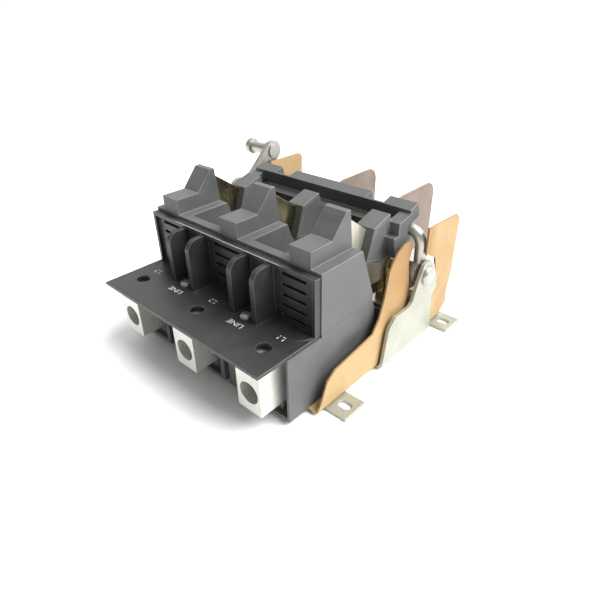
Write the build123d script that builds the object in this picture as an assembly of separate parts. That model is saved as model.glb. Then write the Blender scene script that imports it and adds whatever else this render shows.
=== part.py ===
"""Three-pole knife blade switch on a steel pan, closed (ON) position, millimetres.

Frame: the origin is the centre of the four foot slots, on the mounting plane. X runs across the
poles, +Y from the line end to the load end, +Z up away from the mounting surface. Pole 1 (L1) is
on the +X side, pole 2 in the middle, pole 3 (L3) on the -X side.
"""
from build123d import *
import math
import os

os.makedirs("parts", exist_ok=True)

# ---------------------------------------------------------------- driving dimensions
POLE_PITCH = 50.0
PIVOT_Y = 28.0                  # hinge line of the blades
PIVOT_Z = 45.5
BLADE_REACH = 70.0              # radius of the blade's swept edge about the pivot
SHEET = 2.0                     # steel of the pan and its cheeks
LINER_THICKNESS = 1.0
LUG_WIDTH = 16.4
LUG_HEIGHT = 26.4
LUG_LENGTH = 39.6
BLADE_THICKNESS = 3.0
RUNNING_CLEARANCE = 0.06        # radial, on pins and screws that turn or slide

# terminals
LUG_BORE_RADIUS = 6.2
LUG_BORE_RISE = 11.4            # bore axis above the lug's underside
LUG_EDGE = 0.5
SET_SCREW_RADIUS = 4.0
SET_SCREW_LENGTH = 8.0
SET_SCREW_SETBACK = 11.4        # screw axis behind the lug's face
SET_SCREW_REST_GAP = 0.2        # screw tip above the wire bore
SET_SCREW_POINT = 0.8
HEX_SOCKET_RADIUS = 2.3
HEX_SOCKET_DEPTH = 4.5
STRAP_THICKNESS = 2.2
STRAP_HALF_X = 7.0
STRAP_FLOOR_Z = 9.4             # underside of the straps below the lugs
JAW_FLOOR_Z = 27.8              # underside of the line strap's raised end
HINGE_FLOOR_Z = 22.0            # underside of the load strap's raised end

# line base, across and along
POCKET_CLEARANCE = 4.3          # lug's side to its pocket's wall
POCKET_SIDE_WALL = 1.5
POCKET_FLOOR = 2.0
BASE_FRONT_OVERHANG = 24.0      # line base in front of the arc chamber
BASE_REAR_REACH = 44.3          # line base behind the chamber's front face
LUG_OVERHANG = 12.6             # line lugs' faces in front of the line base
BASE_REAR_WALL = 5.3
BLADE_GATE_HALF_X = 6.0         # gate in the rear wall, for the blade's lower edge
BLADE_GATE_FLOOR_Z = 34.0
GROOVE_OFFSET_X = 7.2           # front grooves, from the phase gap's centre
GROOVE_HALF_X = 2.0
GROOVE_DEPTH = 9.0
PARTING_Z = 43.5
SHELF_STEP = 2.0                # guard shelf's underside below the parting line

# arc chamber
JAW_TO_CHAMBER_FRONT = 11.0
CHAMBER_DEPTH_TOP = 30.7
CHAMBER_DEPTH_LOW = 42.2
CHAMBER_TOP_Z = 76.5
CHAMBER_WALL = 2.5
TOWER_HALF_X = 13.5
PIT_FLOOR_Z = 52.0
FRONT_RIM_Y = 5.0               # top rim between the front face and the pits
HOOD_LEFT_X = -6.2              # hood sides, from their pole's centre line
HOOD_RIGHT_X = 7.4
HOOD_WALL = 2.0
HOOD_HEADROOM = 3.8             # ridge above the blade's highest closed corner
HOOD_STEP = 11.5                # low front part of the hood below its ridge
HOOD_BEND_DEPTH = 15.0          # from the chamber's front face
HOOD_RIDGE_DEPTH = 25.3
HOOD_RIDGE_LENGTH = 3.1
CHAMBER_SCREW_DEPTH = 19.0
CHAMBER_SCREW_RADIUS = 2.0
CHAMBER_SCREW_HEAD_RADIUS = 3.6
CHAMBER_SCREW_HEAD_HEIGHT = 2.4
CHAMBER_SCREW_LOW_Z = 26.0
SCREW_SLOT_WIDTH = 1.0
SCREW_SLOT_DEPTH = 1.0

# line guard
GUARD_INSET_X = 0.7             # guard's edge inboard of the moulding's side
GUARD_SHELF_REACH = 42.0        # shelf tip in front of the chamber's front face
GUARD_SHELF_THICKNESS = 1.7
GUARD_PANEL_THICKNESS = 1.8
GUARD_GAP = 0.2                 # guard panel to the chamber's front face
GUARD_RIM = 2.0
GUARD_TOP_DROP = 1.8            # guard's top edge below the chamber's
GUARD_HOLE_RADIUS = 3.9
RIB_THICKNESS = 3.2
RIB_OFFSET_X = 8.25             # each rib from the phase gap's centre
RIB_REACH_Y = 13.5
RIB_TOP_DROP = 3.5
RIB_CORNER = 6.5
LOUVRE_COUNT = 5
LOUVRE_PITCH = 5.9
LOUVRE_HEIGHT = 1.8
LOUVRE_LOW_RISE = 3.0           # lowest louvre above the shelf
LOUVRE_MIDDLE_LENGTH = 21.0
LOUVRE_OUTER_LENGTH = 16.0
GUARD_SCREW_SETBACK = 13.5      # in front of the chamber's front face
GUARD_SCREW_HEAD_RADIUS = 3.2
GUARD_SCREW_HEAD_HEIGHT = 2.6
GUARD_SCREW_CROWN = 1.9
GUARD_SCREW_RADIUS = 1.7
GUARD_SCREW_GRIP = 12.0

# pan, cheeks and feet
PAN_MARGIN = 4.0                # moulding's side to the pan's fold
PAN_FRONT_MARGIN = 7.0          # pan in front of the chamber's front face
PAN_REAR_Y = 62.0
FOLD_RADIUS = 5.0               # outside radius of the cheeks' fold
CHEEK_MARGIN = 1.5              # liner's outer face to the cheek's inner face
CHEEK_FRONT_Y = -13.5
CHEEK_REAR_Y = 40.0
CHEEK_CORNER = 2.0
FOOT_CENTRE_Y = 3.0             # middle of the four foot slots
FOOT_SPAN_Y = 102.0             # foot slot centres, along
FOOT_SLOT_MARGIN = 2.0          # slot centre outboard of the cheek's outer face
FOOT_TIP_MARGIN = 8.5
FOOT_LENGTH_Y = 16.5
FOOT_SLOT_WIDTH = 5.4
FOOT_SLOT_LENGTH = 8.0
BASE_SCREW_RADIUS = 2.0
BASE_SCREW_HEAD_RADIUS = 3.8
BASE_SCREW_HEAD_HEIGHT = 1.8
BASE_SCREW_TOP_Z = 16.0
LOAD_SCREW_YS = (20.0, 52.0)

# fibre liners
LINER_MARGIN = 2.5              # pan's fold to the liner's outer face
LINER_FOLD_RADIUS = 2.0
LINER_WALL_TOP_Z = 33.0
LOBE_LEAN_X = 4.6               # how far the front lobe leans in, over its height
LOBE_LEAN_LOW_Z = 24.0
LOBE_LEAN_HIGH_Z = 60.0
LOBE_TOP_Z = 68.0
FIN_FRONT_Y = 42.0
FIN_SLIT = 0.6                  # slit between the wall and the start of the fin
LINER_FRONT_MARGIN = 3.0        # liner in front of the pan
LINER_REAR_Y = 58.0
LINER_JOINT_GAP = 0.8           # between the two flanges, on the middle line
RIGHT_FIN_SHIFT_X = 2.6         # right fin stands outboard of its wall
RIGHT_FIN_LOW_Z = 24.0
RIGHT_FIN_STRAIGHT_Z = 37.0
LEFT_FIN_SHIFT_X = -4.0         # left fin stands inboard, clear of the lever
LEFT_FIN_LOW_Z = 12.0
LEFT_FIN_STRAIGHT_Z = 34.0

# interphase barriers and load base
BARRIER_THICKNESS = 1.2
BARRIER_FRONT_Y = 66.0
BARRIER_REAR_Y = 117.0
BARRIER_TOP_Z = 68.0
BARRIER_CORNER = 10.0
BARRIER_SLOT_FLOOR_Z = 8.0
BARRIER_WALL_HALF_X = 4.0
BARRIER_WALL_TOP_Z = 36.0
LOAD_FACE_Y = 90.0              # rear faces of the load lugs
LOAD_BASE_FRONT_Y = -6.0
LOAD_BASE_SETBACK = 4.0         # load base's rear edge in front of the lug faces
LOAD_BASE_MARGIN = 4.0          # moulding's side to the load base's side
LOAD_BASE_FLOOR = 3.0
LOAD_RISER_Y = 44.0
PEDESTAL_FRONT_Y = 12.0
PEDESTAL_MARGIN = 2.0
BOSS_RADIUS = 5.0

# jaws, arc plates, hinge clips
BLADE_OFFSET_X = -1.7           # blade's mid plane from its pole's centre line
CONTACT_GAP = 0.3               # each side, blade to jaw leaf
LEAF_THICKNESS = 1.5
JAW_LENGTH = 16.0
JAW_TOP_Z = 58.0
JAW_WEB = 5.0
ARC_PLATE_COUNT = 5
ARC_PLATE_PITCH = 4.4
ARC_PLATE_THICKNESS = 1.2
ARC_PLATE_LOW_Z = 52.0
ARC_PLATE_GAP = 1.0             # plates behind the chamber's front wall
ARC_PLATE_LENGTH = 17.5
ARC_NOTCH_CLEARANCE = 0.6
ARC_NOTCH_FRONT = 2.0
CLIP_HALF_Y = 7.5
CLIP_WEB = 3.0
PIN_HEAD_HEIGHT = 1.2
PIN_HEAD_STEP = 1.2

# blades
BLADE_LOW_ANGLE = -3.0          # degrees above the line-end horizontal, swept edge
BLADE_MID_ANGLE = 20.0
BLADE_TOP_ANGLE = 42.7
EYE_RADIUS = 8.0

# crossbar, in its own frame: u towards the load end, w up, both from the pivot
CROSSBAR_TILT = 16.0            # degrees, top face rises towards the load end
CROSSBAR_END = 11.0             # bar's end outboard of the outer pole
CROSSBAR_BODY_END = 6.0
BAR_LOWER = [(2.9, 12.0), (-0.6, 18.0), (-0.6, 27.6), (15.0, 27.6), (15.0, 20.0), (12.0, 12.0)]
BAR_UPPER = [(6.9, 27.6), (6.9, 36.0), (15.0, 36.0), (15.0, 27.6)]
BAR_NOTCH = [(8.2, 29.0), (8.2, 37.0), (16.0, 37.0), (16.0, 29.0)]
NOTCH_INNER = 20.0              # notch sides inboard of the outer pole
NOTCH_OUTER = 7.5
CARRIER_LEFT_X = -6.7
CARRIER_RIGHT_X = 5.1
POST_INNER = 4.0                # end post's sides, outboard of the outer pole
POST_OUTER = 11.5
CARRIER_RIVET_DY = -24.5        # from the pivot
CARRIER_RIVET_DZ = 20.5
CARRIER_RIVET_RADIUS = 2.2
CARRIER_RIVET_HEAD_STEP = 1.3
CARRIER_RIVET_HEAD_HEIGHT = 1.0
CARRIER_RIVET_SKIN = 1.2        # carrier wall left beyond the rivet's blind end

# bail rod, lever, stud and their pivots
ROD_RADIUS = 3.4
ROD_U = 6.2                     # rod axis in the crossbar's frame
ROD_W = 24.3
ROD_BEND_RADIUS = 8.0
ROD_SIDE_CLEARANCE = 0.6        # rod leg to the cheek's inner face
ROD_TAIL = 1.6                  # rod's left end past the lever
ROD_LEG_RISE = 7.0              # leg's lower end above the pivot
ROD_EYE_THICKNESS = 3.0
LEVER_THICKNESS = 3.0
LEVER_SIDE_CLEARANCE = 0.5
LEVER_ELBOW = (-11.0, 21.5)     # from the pivot, y and z
LEVER_ARM_ROOT = (-4.0, 17.5)
LEVER_TIP = (22.0, 41.0)
LEVER_TIP_RADIUS = 7.2
STUD_RADIUS = 3.8
STUD_REACH = 18.5               # stud's end outboard of the cheek's outer face
STUD_HEAD_LENGTH = 3.5
STUD_HEAD_STEP = 1.6
STUD_COLLAR_STEP = 2.4
STUD_COLLAR_LENGTH = 2.0
STUD_TENON_STEP = 0.8
STUD_TENON_TAIL = 1.0
STUD_CLINCH_STEP = 0.9
PIVOT_PIN_RADIUS = 3.0
PIVOT_HEAD_RADIUS = 5.7
PIVOT_HEAD_HEIGHT = 2.4
PIVOT_HEAD_CROWN = 2.0
PIVOT_CLINCH_STEP = 1.5         # inner head over the shank
PIVOT_CLINCH_HEIGHT = 1.3
PIVOT_END_PLAY = 0.3

# ---------------------------------------------------------------- derived planes
POLE_X = {1: POLE_PITCH, 2: 0.0, 3: -POLE_PITCH}
PHASE_GAP_X = (-POLE_PITCH / 2, POLE_PITCH / 2)
POCKET_HALF_X = LUG_WIDTH / 2 + POCKET_CLEARANCE
MOULDING_HALF_X = POLE_PITCH + POCKET_HALF_X + POCKET_SIDE_WALL
PAN_HALF_X = MOULDING_HALF_X + PAN_MARGIN
LINER_OUTER_X = PAN_HALF_X + LINER_MARGIN
LINER_INNER_X = LINER_OUTER_X - LINER_THICKNESS
CHEEK_INNER_X = LINER_OUTER_X + CHEEK_MARGIN
CHEEK_OUTER_X = CHEEK_INNER_X + SHEET
FOOT_SLOT_X = CHEEK_OUTER_X + FOOT_SLOT_MARGIN
FOOT_TIP_X = CHEEK_OUTER_X + FOOT_TIP_MARGIN
GUARD_HALF_X = MOULDING_HALF_X - GUARD_INSET_X
LOAD_BASE_HALF_X = MOULDING_HALF_X - LOAD_BASE_MARGIN
CROSSBAR_HALF_X = POLE_PITCH + CROSSBAR_END
CROSSBAR_BODY_HALF_X = POLE_PITCH + CROSSBAR_BODY_END
ROD_LEG_X = CHEEK_INNER_X - ROD_SIDE_CLEARANCE - ROD_RADIUS
LEVER_OUTER_X = -(CHEEK_INNER_X - LEVER_SIDE_CLEARANCE)
LEVER_INNER_X = LEVER_OUTER_X + LEVER_THICKNESS
STUD_END_X = -(CHEEK_OUTER_X + STUD_REACH)
BLADE_LEFT = BLADE_OFFSET_X - BLADE_THICKNESS / 2
BLADE_RIGHT = BLADE_OFFSET_X + BLADE_THICKNESS / 2
LEAF_LEFT = BLADE_LEFT - CONTACT_GAP - LEAF_THICKNESS
LEAF_RIGHT = BLADE_RIGHT + CONTACT_GAP + LEAF_THICKNESS

JAW_FRONT_Y = PIVOT_Y - BLADE_REACH
JAW_REAR_Y = JAW_FRONT_Y + JAW_LENGTH
CHAMBER_FRONT_Y = JAW_FRONT_Y - JAW_TO_CHAMBER_FRONT
CHAMBER_REAR_TOP_Y = CHAMBER_FRONT_Y + CHAMBER_DEPTH_TOP
CHAMBER_REAR_LOW_Y = CHAMBER_FRONT_Y + CHAMBER_DEPTH_LOW
CHAMBER_SCREW_Y = CHAMBER_FRONT_Y + CHAMBER_SCREW_DEPTH
LINE_BASE_FRONT_Y = CHAMBER_FRONT_Y - BASE_FRONT_OVERHANG
LINE_BASE_REAR_Y = CHAMBER_FRONT_Y + BASE_REAR_REACH
LINE_FACE_Y = LINE_BASE_FRONT_Y - LUG_OVERHANG
LINE_SCREW_Y = LINE_FACE_Y + SET_SCREW_SETBACK
LOAD_SCREW_Y = LOAD_FACE_Y - SET_SCREW_SETBACK
LOAD_BASE_REAR_Y = LOAD_FACE_Y - LOAD_BASE_SETBACK
GUARD_TIP_Y = CHAMBER_FRONT_Y - GUARD_SHELF_REACH
GUARD_PANEL_BACK_Y = CHAMBER_FRONT_Y - GUARD_GAP
GUARD_PANEL_FRONT_Y = GUARD_PANEL_BACK_Y - GUARD_PANEL_THICKNESS
GUARD_SCREW_Y = CHAMBER_FRONT_Y - GUARD_SCREW_SETBACK
PAN_FRONT_Y = CHAMBER_FRONT_Y - PAN_FRONT_MARGIN
LINE_SCREW_YS = (CHAMBER_FRONT_Y - 2.0, CHAMBER_FRONT_Y + 38.0)
BASE_SCREW_YS = LINE_SCREW_YS + LOAD_SCREW_YS

MOULDING_BOTTOM_Z = SHEET + LINER_THICKNESS
LUG_BOTTOM_Z = STRAP_FLOOR_Z + STRAP_THICKNESS
LUG_TOP_Z = LUG_BOTTOM_Z + LUG_HEIGHT
BORE_Z = LUG_BOTTOM_Z + LUG_BORE_RISE
SHELF_Z = PARTING_Z - SHELF_STEP
SHELF_TOP_Z = SHELF_Z + GUARD_SHELF_THICKNESS
GUARD_TOP_Z = CHAMBER_TOP_Z - GUARD_TOP_DROP
RIB_TOP_Z = CHAMBER_TOP_Z - RIB_TOP_DROP
BLADE_TOP_RISE = BLADE_REACH * math.sin(math.radians(BLADE_TOP_ANGLE))
HOOD_RIDGE_Z = PIVOT_Z + BLADE_TOP_RISE + HOOD_HEADROOM
HOOD_LOW_Z = HOOD_RIDGE_Z - HOOD_STEP
HOOD_BEND_Y = CHAMBER_FRONT_Y + HOOD_BEND_DEPTH
HOOD_RIDGE_FRONT_Y = CHAMBER_FRONT_Y + HOOD_RIDGE_DEPTH
HOOD_RIDGE_REAR_Y = HOOD_RIDGE_FRONT_Y + HOOD_RIDGE_LENGTH

PIVOT_HOLE_RADIUS = PIVOT_PIN_RADIUS + RUNNING_CLEARANCE
TILT = math.radians(CROSSBAR_TILT)
ROD_Y = PIVOT_Y + ROD_U * math.cos(TILT) - ROD_W * math.sin(TILT)
ROD_Z = PIVOT_Z + ROD_U * math.sin(TILT) + ROD_W * math.cos(TILT)
RIVET_Y = PIVOT_Y + CARRIER_RIVET_DY
RIVET_Z = PIVOT_Z + CARRIER_RIVET_DZ
TIP_Y = PIVOT_Y + LEVER_TIP[0]
TIP_Z = PIVOT_Z + LEVER_TIP[1]


# ---------------------------------------------------------------- helpers
def block(x0, x1, y0, y1, z0, z1):
    """Box between opposite corners."""
    size = Box(abs(x1 - x0), abs(y1 - y0), abs(z1 - z0))
    return Pos((x0 + x1) / 2, (y0 + y1) / 2, (z0 + z1) / 2) * size


def side_plate(points, x0, x1):
    """Prism whose outline is given as (y, z) points, between two X planes."""
    face = make_face(Polyline(*points, close=True))
    return extrude(Plane.YZ.offset(min(x0, x1)) * face, abs(x1 - x0))


def tilted_bar(points, x0, x1):
    """Prism with its outline in the crossbar's tilted (u, w) frame about the pivot."""
    plane = Plane(
        origin=(min(x0, x1), PIVOT_Y, PIVOT_Z),
        x_dir=(0, math.cos(TILT), math.sin(TILT)),
        z_dir=(1, 0, 0),
    )
    face = make_face(Polyline(*points, close=True))
    return extrude(plane * face, abs(x1 - x0))


def rod_x(y, z, radius, x0, x1):
    """Cylinder along X."""
    centre = Pos((x0 + x1) / 2, y, z)
    return centre * Rot(0, 90, 0) * Cylinder(radius, abs(x1 - x0))


def rod_y(x, z, radius, y0, y1):
    """Cylinder along Y."""
    centre = Pos(x, (y0 + y1) / 2, z)
    return centre * Rot(90, 0, 0) * Cylinder(radius, abs(y1 - y0))


def rod_z(x, y, radius, z0, z1):
    """Cylinder along Z."""
    return Pos(x, y, (z0 + z1) / 2) * Cylinder(radius, abs(z1 - z0))


def capsule(start, end, radius, x0, x1):
    """Round-ended flat link in a YZ plane, between two X planes."""
    dy, dz = end[0] - start[0], end[1] - start[1]
    length = math.hypot(dy, dz)
    ny, nz = -dz / length * radius, dy / length * radius
    band = [
        (start[0] + ny, start[1] + nz),
        (end[0] + ny, end[1] + nz),
        (end[0] - ny, end[1] - nz),
        (start[0] - ny, start[1] - nz),
    ]
    link = side_plate(band, x0, x1)
    for y, z in (start, end):
        link += rod_x(y, z, radius, x0, x1)
    return link


def polar(radius, degrees):
    """Point on a circle about the pivot; 0 degrees points to the line end, 90 straight up."""
    angle = math.radians(degrees)
    return (PIVOT_Y - radius * math.cos(angle), PIVOT_Z + radius * math.sin(angle))


def pole_nodes(name, build):
    """One node for each pole, numbered 1 to 3."""
    return {f"{name}_{pole}": build(x) for pole, x in POLE_X.items()}


# ---------------------------------------------------------------- steel pan
def base_pan():
    """Pan with two folded-up pivot cheeks and four slotted feet."""
    pan = block(-PAN_HALF_X, PAN_HALF_X, PAN_FRONT_Y, PAN_REAR_Y, 0, SHEET)
    for side in (-1, 1):
        pan += cheek(side)
        pan += cheek_fold(side)
        for end in (-1, 1):
            pan += foot(side, end)
    pan -= rod_x(PIVOT_Y, PIVOT_Z, PIVOT_PIN_RADIUS, -CHEEK_OUTER_X, CHEEK_OUTER_X)
    return pan - base_screws()


def cheek(side):
    outline = [
        (CHEEK_FRONT_Y + 1.8, FOLD_RADIUS),
        (-8.0, 27.0),
        (-2.0, 32.0),
        (11.5, 31.8),
        (14.5, 34.0),
        (19.0, 46.0),
        (23.0, 54.0),
        (29.5, 54.8),
        (35.0, 50.0),
        (40.2, 39.0),
        (40.7, 31.5),
        (36.5, 28.0),
        (CHEEK_REAR_Y, FOLD_RADIUS),
    ]
    plate = side_plate(outline, side * CHEEK_INNER_X, side * CHEEK_OUTER_X)
    corners = plate.edges().filter_by(Axis.X).filter_by(lambda e: e.center().Z > FOLD_RADIUS + 1)
    return fillet(corners, CHEEK_CORNER)


def cheek_fold(side):
    """Quarter-round fold between a cheek and the pan, with the flat strip beside it."""
    fold_x = CHEEK_OUTER_X - FOLD_RADIUS
    front, rear = CHEEK_FRONT_Y + 1.8, CHEEK_REAR_Y
    ring = rod_y(side * fold_x, FOLD_RADIUS, FOLD_RADIUS, front, rear)
    ring -= rod_y(side * fold_x, FOLD_RADIUS, FOLD_RADIUS - SHEET, front, rear)
    quarter = block(side * fold_x, side * CHEEK_OUTER_X, front, rear, 0, FOLD_RADIUS)
    strip = block(side * PAN_HALF_X, side * fold_x, front, rear, 0, SHEET)
    return (ring & quarter) + strip


def foot(side, end):
    centre_y = FOOT_CENTRE_Y + end * FOOT_SPAN_Y / 2
    half = FOOT_LENGTH_Y / 2
    tab = block(side * PAN_HALF_X, side * FOOT_TIP_X, centre_y - half, centre_y + half, 0, SHEET)
    slot = extrude(SlotOverall(FOOT_SLOT_LENGTH, FOOT_SLOT_WIDTH), SHEET)
    return tab - Pos(side * FOOT_SLOT_X, centre_y, 0) * slot


def base_screw_shanks(z0, z1):
    shanks = Part()
    for x in PHASE_GAP_X:
        for y in BASE_SCREW_YS:
            shanks += rod_z(x, y, BASE_SCREW_RADIUS, z0, z1)
    return shanks


def base_screws():
    """Countersunk screws driven up through the pan into both lower mouldings."""
    screws = base_screw_shanks(0, BASE_SCREW_TOP_Z)
    for x in PHASE_GAP_X:
        for y in BASE_SCREW_YS:
            head = Cone(BASE_SCREW_HEAD_RADIUS, BASE_SCREW_RADIUS, BASE_SCREW_HEAD_HEIGHT)
            screws += Pos(x, y, BASE_SCREW_HEAD_HEIGHT / 2) * head
    return screws


# ---------------------------------------------------------------- insulating sheets
def liner(side, fin_outline, wall_rear, bend):
    """Folded fibre sheet: flange under the mouldings, wall, leaning lobe and rear fin."""
    front, rear = PAN_FRONT_Y - LINER_FRONT_MARGIN, LINER_REAR_Y
    fold_x = LINER_OUTER_X - LINER_FOLD_RADIUS
    fold_z = SHEET + LINER_FOLD_RADIUS
    sheet = block(side * LINER_JOINT_GAP / 2, side * fold_x, front, rear, SHEET, MOULDING_BOTTOM_Z)
    ring = rod_y(side * fold_x, fold_z, LINER_FOLD_RADIUS, front, rear)
    ring -= rod_y(side * fold_x, fold_z, LINER_FOLD_RADIUS - LINER_THICKNESS, front, rear)
    sheet += ring & block(side * fold_x, side * LINER_OUTER_X, front, rear, SHEET, fold_z)
    wall_outline = [
        (front, fold_z),
        (front + 2.5, 8.0),
        (front + 7.0, 19.0),
        (front + 13.0, 23.0),
        (-17.5, 27.5),
        (-11.5, LINER_WALL_TOP_Z),
        (FIN_FRONT_Y - FIN_SLIT, LINER_WALL_TOP_Z),
        (FIN_FRONT_Y - FIN_SLIT, wall_rear[0][1]),
        *wall_rear,
        (rear, fold_z),
    ]
    sheet += side_plate(wall_outline, side * LINER_INNER_X, side * LINER_OUTER_X)
    lobe_outline = [
        (-17.5, LOBE_LEAN_LOW_Z),
        (-17.5, 27.5),
        (-11.5, LINER_WALL_TOP_Z),
        (-5.5, 43.0),
        (0.0, 56.0),
        (7.0, 64.0),
        (14.0, 67.5),
        (20.0, 67.0),
        (22.0, 61.0),
        (18.5, 54.0),
        (18.5, LOBE_LEAN_LOW_Z),
    ]
    lobe_bend = [
        (LINER_INNER_X, LOBE_LEAN_LOW_Z),
        (LINER_OUTER_X, LOBE_LEAN_LOW_Z),
        (LINER_OUTER_X - LOBE_LEAN_X, LOBE_LEAN_HIGH_Z),
        (LINER_OUTER_X - LOBE_LEAN_X, LOBE_TOP_Z),
        (LINER_INNER_X - LOBE_LEAN_X, LOBE_TOP_Z),
        (LINER_INNER_X - LOBE_LEAN_X, LOBE_LEAN_HIGH_Z),
    ]
    gap = block(side * PAN_HALF_X, side * CHEEK_INNER_X, -17.5, 18.5, LOBE_LEAN_LOW_Z, LOBE_TOP_Z)
    sheet -= gap
    sheet += bent_sheet(side, lobe_outline, lobe_bend)
    sheet += bent_sheet(side, fin_outline, bend)
    return sheet - base_screw_shanks(SHEET, MOULDING_BOTTOM_Z)


def bent_sheet(side, outline, bend):
    """Sheet with a (y, z) outline seen from the side and an (x, z) bend seen from the end."""
    reach = 200.0
    section = make_face(Polyline(*[(side * x, z) for x, z in bend], close=True))
    band = extrude(Plane.XZ * section, reach, both=True)
    return band & side_plate(outline, side * POLE_PITCH, side * FOOT_TIP_X)


def fin_bend(shift, low_z, straight_z, top_z):
    return [
        (LINER_INNER_X, low_z),
        (LINER_OUTER_X, low_z),
        (LINER_OUTER_X + shift, straight_z),
        (LINER_OUTER_X + shift, top_z),
        (LINER_INNER_X + shift, top_z),
        (LINER_INNER_X + shift, straight_z),
    ]


def fibre_liner_right():
    """The fin stands outboard and follows the cheek's rear edge up past the bail rod."""
    outline = [
        (FIN_FRONT_Y, RIGHT_FIN_LOW_Z),
        (42.0, 36.4),
        (36.4, 53.2),
        (28.0, 58.7),
        (25.5, 58.7),
        (25.5, 74.9),
        (57.0, 73.4),
        (60.8, 70.0),
        (60.6, 40.0),
        (65.0, RIGHT_FIN_LOW_Z),
    ]
    wall_rear = [(65.0, RIGHT_FIN_LOW_Z), (63.8, 18.0), (65.0, 9.5), (61.0, 6.0)]
    bend = fin_bend(RIGHT_FIN_SHIFT_X, RIGHT_FIN_LOW_Z, RIGHT_FIN_STRAIGHT_Z, 76.0)
    return liner(1, outline, wall_rear, bend)


def fibre_liner_left():
    """The fin stands inboard of the lever and starts behind the bail rod's swing."""
    outline = [
        (FIN_FRONT_Y, LEFT_FIN_LOW_Z),
        (FIN_FRONT_Y, 52.0),
        (53.0, 55.0),
        (53.0, 68.0),
        (45.5, 75.5),
        (44.0, 80.5),
        (72.6, 80.5),
        (75.7, 79.4),
        (77.0, 76.8),
        (75.0, 27.0),
        (62.0, LEFT_FIN_LOW_Z),
    ]
    wall_rear = [(62.0, LEFT_FIN_LOW_Z), (60.0, 8.0)]
    bend = fin_bend(LEFT_FIN_SHIFT_X, LEFT_FIN_LOW_Z, LEFT_FIN_STRAIGHT_Z, 84.0)
    return liner(-1, outline, wall_rear, bend)


def phase_barrier(x):
    """Fibre sheet standing in its slot between two load terminals."""
    outline = [
        (BARRIER_FRONT_Y, BARRIER_SLOT_FLOOR_Z),
        (BARRIER_FRONT_Y, BARRIER_TOP_Z),
        (BARRIER_REAR_Y, BARRIER_TOP_Z),
        (BARRIER_REAR_Y, BARRIER_SLOT_FLOOR_Z),
    ]
    half = BARRIER_THICKNESS / 2
    sheet = side_plate(outline, x - half, x + half)
    top = sheet.edges().filter_by(Axis.X).group_by(Axis.Z)[-1]
    return fillet(top, BARRIER_CORNER)


# ---------------------------------------------------------------- line end mouldings
def line_base():
    """Lower line-end moulding with one terminal pocket for each pole."""
    outline = [
        (LINE_BASE_FRONT_Y, MOULDING_BOTTOM_Z),
        (LINE_BASE_FRONT_Y, SHELF_Z),
        (CHAMBER_FRONT_Y, SHELF_Z),
        (CHAMBER_FRONT_Y, PARTING_Z),
        (LINE_BASE_REAR_Y - 2.5, PARTING_Z),
        (LINE_BASE_REAR_Y, PARTING_Z - 6.0),
        (LINE_BASE_REAR_Y, 16.0),
        (LINE_BASE_REAR_Y - 9.0, MOULDING_BOTTOM_Z),
    ]
    base = side_plate(outline, -MOULDING_HALF_X, MOULDING_HALF_X)
    floor_z = MOULDING_BOTTOM_Z + POCKET_FLOOR
    pocket_rear = LINE_BASE_REAR_Y - BASE_REAR_WALL
    seat_front, seat_rear = LINE_BASE_FRONT_Y + 3.0, JAW_FRONT_Y + 2.0
    for x in POLE_X.values():
        left, right = x - POCKET_HALF_X, x + POCKET_HALF_X
        base -= block(left, right, LINE_BASE_FRONT_Y, pocket_rear, floor_z, PARTING_Z)
        base += block(x - STRAP_HALF_X, x + STRAP_HALF_X, seat_front, seat_rear, floor_z, STRAP_FLOOR_Z)
        left, right = x + BLADE_OFFSET_X - BLADE_GATE_HALF_X, x + BLADE_OFFSET_X + BLADE_GATE_HALF_X
        base -= block(left, right, pocket_rear, LINE_BASE_REAR_Y, BLADE_GATE_FLOOR_Z, PARTING_Z)
    for x in PHASE_GAP_X:
        for offset in (-GROOVE_OFFSET_X, GROOVE_OFFSET_X):
            base -= block(
                x + offset - GROOVE_HALF_X,
                x + offset + GROOVE_HALF_X,
                LINE_BASE_FRONT_Y,
                LINE_BASE_FRONT_Y + GROOVE_DEPTH,
                MOULDING_BOTTOM_Z,
                SHELF_Z,
            )
        base -= rod_z(x, GUARD_SCREW_Y, GUARD_SCREW_RADIUS, SHELF_Z - GUARD_SCREW_GRIP, SHELF_Z)
        base -= rod_z(x, CHAMBER_SCREW_Y, CHAMBER_SCREW_RADIUS, CHAMBER_SCREW_LOW_Z, PARTING_Z)
    return base - base_screw_shanks(MOULDING_BOTTOM_Z, BASE_SCREW_TOP_Z)


def hood_outline(inset):
    """Side outline of an arc hood; inset 0 is the outside, otherwise the hollow."""
    foot_z = CHAMBER_TOP_Z - inset * 2
    rear_y = CHAMBER_REAR_TOP_Y + inset * 2
    return [
        (CHAMBER_FRONT_Y + inset * 1.25, foot_z),
        (CHAMBER_FRONT_Y + inset * 1.25, HOOD_LOW_Z - inset),
        (HOOD_BEND_Y - inset * 0.5, HOOD_LOW_Z - inset),
        (HOOD_RIDGE_FRONT_Y - inset * 0.5, HOOD_RIDGE_Z - inset),
        (HOOD_RIDGE_REAR_Y + inset * 2, HOOD_RIDGE_Z - inset),
        (rear_y, foot_z),
    ]


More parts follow.
